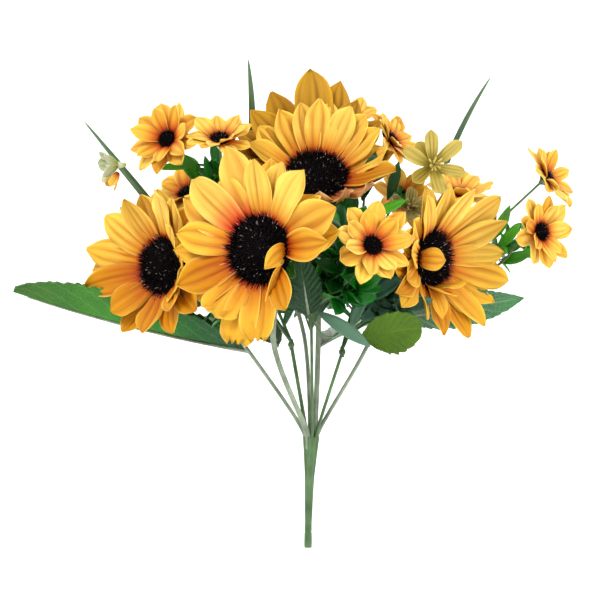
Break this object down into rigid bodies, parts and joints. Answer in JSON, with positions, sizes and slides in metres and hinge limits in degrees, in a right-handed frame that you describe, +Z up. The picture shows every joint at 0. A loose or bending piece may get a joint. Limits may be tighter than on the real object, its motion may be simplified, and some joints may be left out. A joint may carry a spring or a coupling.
{
  "type": "artificial sunflower bush",
  "caption": "Artificial sunflower bush: large and small yellow flower heads, serrated leaves, grass blades and foliage on wired stems that fork from a single moulded stem.",
  "frame": {"origin": "centre of the flat cut under the moulded stem, at ground level", "axes": "+Z up, away from the ground; the front heads face -Y and +X is to their right as seen from the front"},
  "size_m": [0.3799, 0.223, 0.3222],
  "materials": {
    "stem": "matt green moulded and dipped plastic with faint flutes",
    "petal": "golden printed polyester, orange at the base, pale at the rim, creased along its length",
    "disc": "near-black brown short bristles",
    "leaf": "mid-green printed fabric with pale veins",
    "bright_leaf": "yellow-green printed fabric",
    "sage_leaf": "dull grey-green printed fabric",
    "foliage": "dark green printed fabric",
    "grass": "thin matt green plastic blades",
    "filler": "pale yellow-green thin fabric"
  },
  "bodies": {
    "root": {"main_stem": "stem", "sunflower_left_petals": "petal", "sunflower_left_disc": "disc", "sunflower_left_calyx": "leaf", "sunflower_front_petals": "petal", "sunflower_front_disc": "disc", "sunflower_front_calyx": "leaf", "sunflower_top_petals": "petal", "sunflower_top_disc": "disc", "sunflower_top_calyx": "leaf", "sunflower_right_petals": "petal", "sunflower_right_disc": "disc", "sunflower_right_calyx": "leaf", "sunflower_back_petals": "petal", "sunflower_back_disc": "disc", "sunflower_back_calyx": "leaf", "small_left_outer": "petal", "small_left_inner": "petal", "small_left_low": "petal", "small_centre_front": "petal", "small_centre_top": "petal", "small_centre_high": "petal", "small_right_low": "petal", "small_right_high": "petal", "small_right_inner": "petal", "small_back_right": "petal", "small_back_left": "petal", "filler_right": "filler", "filler_left": "filler", "filler_middle": "filler", "stem_left": "stem", "stem_front": "stem", "stem_top": "stem", "stem_right": "stem", "stem_back": "stem", "spray_left_stem": "stem", "spray_left_twigs": "stem", "spray_centre_stem": "stem", "spray_centre_twigs": "stem", "spray_right_stem": "stem", "spray_right_twigs": "stem", "leaf_left_large": "leaf", "leaf_back_large": "leaf", "leaf_right_large": "sage_leaf", "leaf_back_left": "sage_leaf", "leaf_right_bright": "bright_leaf", "leaf_centre_round": "foliage", "grass_left": "grass", "grass_top": "grass", "grass_right": "grass", "grass_back": "grass", "foliage_centre": "foliage", "foliage_low_right": "foliage", "foliage_low_left": "foliage", "foliage_top_left": "foliage", "foliage_right": "foliage", "foliage_back": "foliage"}
  },
  "joints": []
}
